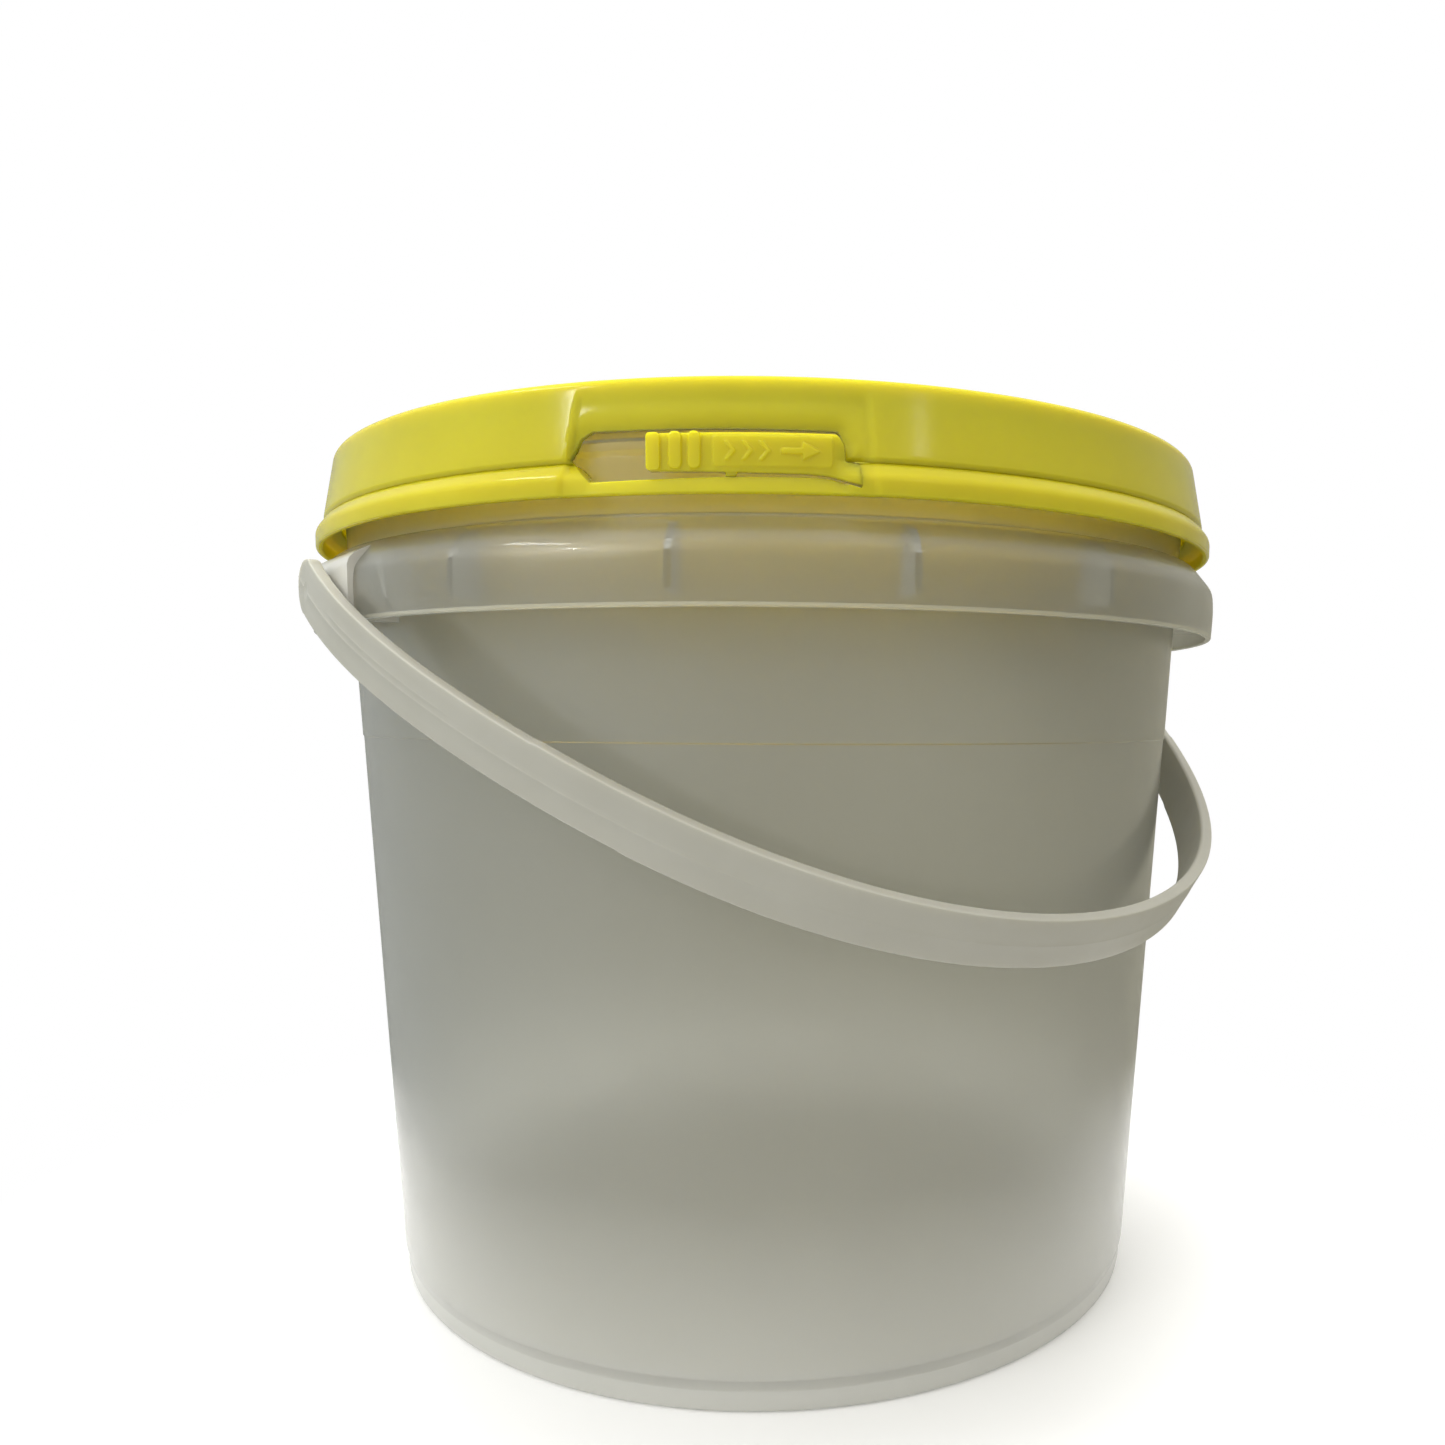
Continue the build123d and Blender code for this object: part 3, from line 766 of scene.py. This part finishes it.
def mat_natural(name, transmission, lo, hi, rough, painted_foot_transmission=None, coat=0.5):
    m, nt, out = new_mat(name)
    p = nt.nodes.new("ShaderNodeBsdfPrincipled")
    co = coords(nt)
    n1 = noise(nt, 9.0, 3.0, 0.5, co)
    c = ramp(nt, n1.outputs["Fac"], [(0.3, lo), (0.7, hi)])
    nt.links.new(c.outputs["Color"], p.inputs["Base Color"])
    n2 = noise(nt, 60.0, 3.0, 0.6, co)
    nt.links.new(maprange(nt, n2.outputs["Fac"], 0.3, 0.7, rough[0], rough[1]), p.inputs["Roughness"])
    wav = noise(nt, 14.0, 2.0, 0.4, co)
    vert = noise(nt, 40.0, 2.0, 0.5, coords(nt, (1, 1, 0.12)))
    b1 = bump(nt, wav.outputs["Fac"], 0.35, 0.0012)
    b2 = bump(nt, vert.outputs["Fac"], 0.12, 0.0003, b1)
    nt.links.new(b2, p.inputs["Normal"])
    p.inputs["IOR"].default_value = 1.42
    if painted_foot_transmission is None:
        p.inputs["Transmission Weight"].default_value = transmission
    else:
        # painted light: transmission falls towards the foot and rises to its clearest in the neck, a height gradient
        # that makes the lower wall milkier and lighter and stands in for how the light falls on the wall
        sep = nt.nodes.new("ShaderNodeSeparateXYZ")
        nt.links.new(co, sep.inputs[0])
        low = maprange(nt, sep.outputs["Z"], 0.002, 0.045, painted_foot_transmission - transmission, 0.0)
        high = maprange(nt, sep.outputs["Z"], 0.150, 0.176, transmission, 0.97)
        add = nt.nodes.new("ShaderNodeMath")
        add.operation = "ADD"
        nt.links.new(low, add.inputs[0])
        nt.links.new(high, add.inputs[1])
        nt.links.new(add.outputs[0], p.inputs["Transmission Weight"])
    p.inputs["Coat Weight"].default_value = coat
    p.inputs["Coat Roughness"].default_value = 0.09
    p.inputs["Coat IOR"].default_value = 1.5
    nt.links.new(p.outputs["BSDF"], out.inputs["Surface"])
    return m


def mat_handle():
    m, nt, out = new_mat("handle_pp")
    p = nt.nodes.new("ShaderNodeBsdfPrincipled")
    co = coords(nt)
    n1 = noise(nt, 30.0, 4.0, 0.6, co)
    c = ramp(nt, n1.outputs["Fac"], [(0.3, (0.450, 0.442, 0.392, 1)), (0.7, (0.495, 0.488, 0.440, 1))])
    nt.links.new(c.outputs["Color"], p.inputs["Base Color"])
    n2 = noise(nt, 140.0, 3.0, 0.6, co)
    nt.links.new(maprange(nt, n2.outputs["Fac"], 0.3, 0.7, 0.34, 0.46), p.inputs["Roughness"])
    fine = noise(nt, 1400.0, 2.0, 0.5, co)
    wav = noise(nt, 45.0, 2.0, 0.4, co)
    b1 = bump(nt, wav.outputs["Fac"], 0.3, 0.0004)
    b2 = bump(nt, fine.outputs["Fac"], 0.2, 0.00006, b1)
    nt.links.new(b2, p.inputs["Normal"])
    p.inputs["IOR"].default_value = 1.49
    p.inputs["Subsurface Weight"].default_value = 0.6
    p.inputs["Subsurface Radius"].default_value = (1.0, 0.95, 0.8)
    p.inputs["Subsurface Scale"].default_value = 0.003
    nt.links.new(p.outputs["BSDF"], out.inputs["Surface"])
    return m


def mat_floor():
    """A pale table top, lit a little from below as a light table is, that fades out into the backdrop."""
    m, nt, out = new_mat("floor_pale")
    p = nt.nodes.new("ShaderNodeBsdfPrincipled")
    n1 = noise(nt, 3.0, 2.0, 0.5, coords(nt))
    c = ramp(nt, n1.outputs["Fac"], [(0.0, (0.80, 0.80, 0.805, 1)), (1.0, (0.83, 0.83, 0.83, 1))])
    nt.links.new(c.outputs["Color"], p.inputs["Base Color"])
    p.inputs["Roughness"].default_value = 0.8
    p.inputs["Specular IOR Level"].default_value = 0.1
    p.inputs["Emission Color"].default_value = (1.0, 0.995, 0.98, 1)
    p.inputs["Emission Strength"].default_value = FLOOR_GLOW
    tc = nt.nodes.new("ShaderNodeTexCoord")
    ln = nt.nodes.new("ShaderNodeVectorMath")
    ln.operation = "LENGTH"
    nt.links.new(tc.outputs["Object"], ln.inputs[0])
    fade = maprange(nt, ln.outputs["Value"], FLOOR_FADE[0], FLOOR_FADE[1], 1.0, 0.0)
    clear = nt.nodes.new("ShaderNodeBsdfTransparent")
    mix = nt.nodes.new("ShaderNodeMixShader")
    nt.links.new(fade, mix.inputs["Fac"])
    nt.links.new(clear.outputs[0], mix.inputs[1])
    nt.links.new(p.outputs["BSDF"], mix.inputs[2])
    nt.links.new(mix.outputs[0], out.inputs["Surface"])
    return m


# ----------------------------------------------------------------- camera ----
def camera():
    # stands 311 mm from the pail's axis, 140 mm above the floor, a little below the lid
    D, ZC = 2.756 * 113.0, 1.2408 * 113.0
    yaw, pitch, roll = -0.0383, -0.1, 0.0058
    f_px, ppx, ppy, side = 1123.3, 811.5, 829.1, 1445.0
    turn = Matrix.Rotation(radians(-VIEW_AZ), 3, "Z")
    loc = turn @ Vector((0, -D, ZC)) * MM
    fwd = Vector((-sin(yaw) * cos(pitch), cos(yaw) * cos(pitch), sin(pitch)))
    r0 = Vector((cos(yaw), sin(yaw), 0))
    u0 = r0.cross(fwd)
    right = r0 * cos(roll) + u0 * sin(roll)
    up = u0 * cos(roll) - r0 * sin(roll)
    right, up, fwd = turn @ right, turn @ up, turn @ fwd
    cam = bpy.data.cameras.new("camera")
    ob = bpy.data.objects.new("camera", cam)
    bpy.context.scene.collection.objects.link(ob)
    m = Matrix((right, up, -fwd)).transposed().to_4x4()
    m.translation = loc
    ob.matrix_world = m
    cam.sensor_width = 36.0
    cam.lens = f_px / side * 36.0
    cam.shift_x = (side / 2 - ppx) / side
    cam.shift_y = (ppy - side / 2) / side
    cam.clip_start, cam.clip_end = 0.01, 50.0
    bpy.context.scene.camera = ob
    return ob


def area(name, az, dist, z, size, power, color=(1, 1, 1), target=(0, 0, 0.12), size_y=None, spread=None):
    """Soft box at an azimuth counted from the camera's direction, positive to its right."""
    l = bpy.data.lights.new(name, "AREA")
    l.energy = power
    l.color = color
    l.shape = "RECTANGLE"
    l.size = size
    l.size_y = size_y or size
    if spread:
        l.spread = radians(spread)
    ob = bpy.data.objects.new(name, l)
    bpy.context.scene.collection.objects.link(ob)
    a = radians(az - VIEW_AZ)
    ob.location = (dist * sin(a), -dist * cos(a), z)
    ob.rotation_mode = "QUATERNION"
    ob.rotation_quaternion = (ob.location - Vector(target)).to_track_quat("Z", "Y")
    return ob


def world():
    """White behind the object, and for everything else a dim room that is lighter to the left, in front and overhead."""
    w = bpy.data.worlds.new("world")
    bpy.context.scene.world = w
    w.use_nodes = True
    nt = w.node_tree
    nt.nodes.clear()
    out = nt.nodes.new("ShaderNodeOutputWorld")
    tc = nt.nodes.new("ShaderNodeTexCoord")

    def along(v, lo, hi, a, b):
        d = nt.nodes.new("ShaderNodeVectorMath")
        d.operation = "DOT_PRODUCT"
        nt.links.new(tc.outputs["Generated"], d.inputs[0])
        d.inputs[1].default_value = v
        m = nt.nodes.new("ShaderNodeMapRange")
        m.interpolation_type = "SMOOTHSTEP"
        for k, x in (("From Min", lo), ("From Max", hi), ("To Min", a), ("To Max", b)):
            m.inputs[k].default_value = x
        nt.links.new(d.outputs["Value"], m.inputs["Value"])
        return m.outputs["Result"]

    def tint(src, base, colour):
        m = nt.nodes.new("ShaderNodeMix")
        m.data_type = "RGBA"
        m.blend_type = "ADD"
        m.inputs["A"].default_value = (*base, 1)
        m.inputs["B"].default_value = (*colour, 1)
        if not isinstance(src, tuple):
            nt.links.new(src, m.inputs["Factor"])
        return m

    a = radians(VIEW_AZ)
    front = (-sin(a), -cos(a), 0.0)
    left = (-cos(a), sin(a), 0.0)
    m1 = tint(along(left, *WORLD_LEFT[0]), WORLD_BASE, WORLD_LEFT[1])
    m2 = tint(along(front, *WORLD_FRONT[0]), (0, 0, 0), WORLD_FRONT[1])
    mr = tint(along(tuple(-0.75 * l - 0.66 * f for l, f in zip(left, front)), *WORLD_RIGHT[0]), (0, 0, 0), WORLD_RIGHT[1])
    nt.links.new(m1.outputs["Result"], mr.inputs["A"])
    nt.links.new(mr.outputs["Result"], m2.inputs["A"])
    m3 = tint(along((0, 0, 1), *WORLD_TOP[0]), (0, 0, 0), WORLD_TOP[1])
    nt.links.new(m2.outputs["Result"], m3.inputs["A"])
    bg = nt.nodes.new("ShaderNodeBackground")
    nt.links.new(m3.outputs["Result"], bg.inputs["Color"])
    bg.inputs["Strength"].default_value = 1.0
    white = nt.nodes.new("ShaderNodeBackground")
    white.inputs["Color"].default_value = (1, 1, 1, 1)
    white.inputs["Strength"].default_value = 1.0
    lp = nt.nodes.new("ShaderNodeLightPath")
    mix = nt.nodes.new("ShaderNodeMixShader")
    nt.links.new(lp.outputs["Is Camera Ray"], mix.inputs["Fac"])
    nt.links.new(bg.outputs[0], mix.inputs[1])
    nt.links.new(white.outputs[0], mix.inputs[2])
    nt.links.new(mix.outputs[0], out.inputs["Surface"])


def floor():
    bm = bmesh.new()
    bmesh.ops.create_circle(bm, cap_ends=True, segments=96, radius=0.5)
    bmesh.ops.translate(bm, verts=bm.verts, vec=(0, 0, -0.0002))
    ob = link("floor", bm)
    ob.data.materials.append(mat_floor())


# ---------------------------------------------------------------- assemble ----
def dress(ob, mats, body, slot, *nodes):
    if not ob.data.materials:
        for m in mats:
            ob.data.materials.append(m)
    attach(ob, body)
    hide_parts(*nodes)


yellow, milky = mat_yellow(), mat_handle()
yellow_in = mat_yellow("lid_yellow_pp_inside", (0.45, 0.55), 0.12)
WALL_LO, WALL_HI = (0.81, 0.81, 0.765, 1), (0.85, 0.85, 0.81, 1)
# painted light: the wall's transmission drops to 0.60 towards the foot and rises to 0.97 in the neck
natural = mat_natural("natural_pp_wall", 0.93, WALL_LO, WALL_HI, (0.30, 0.37), painted_foot_transmission=0.60)
thick = mat_natural("natural_pp_thick", 0.50, (0.90, 0.895, 0.85, 1), (0.94, 0.935, 0.90, 1), (0.30, 0.37))
edge = mat_natural("natural_pp_edge", 0.35, (0.91, 0.90, 0.84, 1), (0.94, 0.93, 0.88, 1), (0.30, 0.37))
# painted highlight: milkier, yellower copy of the wall plastic for the collar's bottom rim
edge_highlight = mat_natural("natural_pp_painted_edge_highlight", 0.70, (0.86, 0.85, 0.73, 1), (0.90, 0.89, 0.78, 1), (0.30, 0.37))
dress(make_pail([natural, thick, edge, edge_highlight]), None, "pail", "natural_pp", "pail", "collar")
HANDLE_NODES = [n for n in frame["nodes"] if n.startswith("handle_") or n.startswith("pivot_pin") or n == "bail_handle"]
dress(make_handle(), [milky], "handle", "handle_pp", *HANDLE_NODES)
dress(make_lid(), [yellow], "lid", "lid_yellow", "lid")
dress(make_band([yellow, yellow_in]), [], "lid", "lid_yellow", "tamper_band")
tab = make_tab()
tab.data.materials.append(yellow)
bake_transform(tab)
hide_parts("tear_tab")

camera()
world()
floor()
key = area("key", -48, 1.3, 1.0, 0.8, 8.0, (1.0, 0.99, 0.96))
key.visible_glossy = False
area("window_left", -48.5, 1.35, 1.02, 0.055, 0.75, (1.0, 1.0, 1.0), target=(-0.03, -0.1, 0.19), size_y=0.05)
area("window_right", 37, 1.35, 1.02, 0.05, 0.10, (1.0, 1.0, 1.0), target=(0.02, -0.1, 0.19), size_y=0.045)
area("window_side", -75, 1.0, 1.38, 0.55, 1.9, (1.0, 1.0, 1.0), target=(-0.06, -0.1, 0.17), size_y=0.08)
top = area("top", 180, 0.4, 1.6, 1.4, 32.0, (1.0, 1.0, 1.0))
top.visible_glossy = False

sc = bpy.context.scene
sc.view_settings.view_transform = "Standard"
sc.cycles.max_bounces = 16
sc.cycles.transmission_bounces = 14
sc.cycles.transparent_max_bounces = 12
sc.cycles.glossy_bounces = 6
sc.cycles.diffuse_bounces = 5
sc.cycles.blur_glossy = 1.0
sc.cycles.sample_clamp_indirect = 4.0
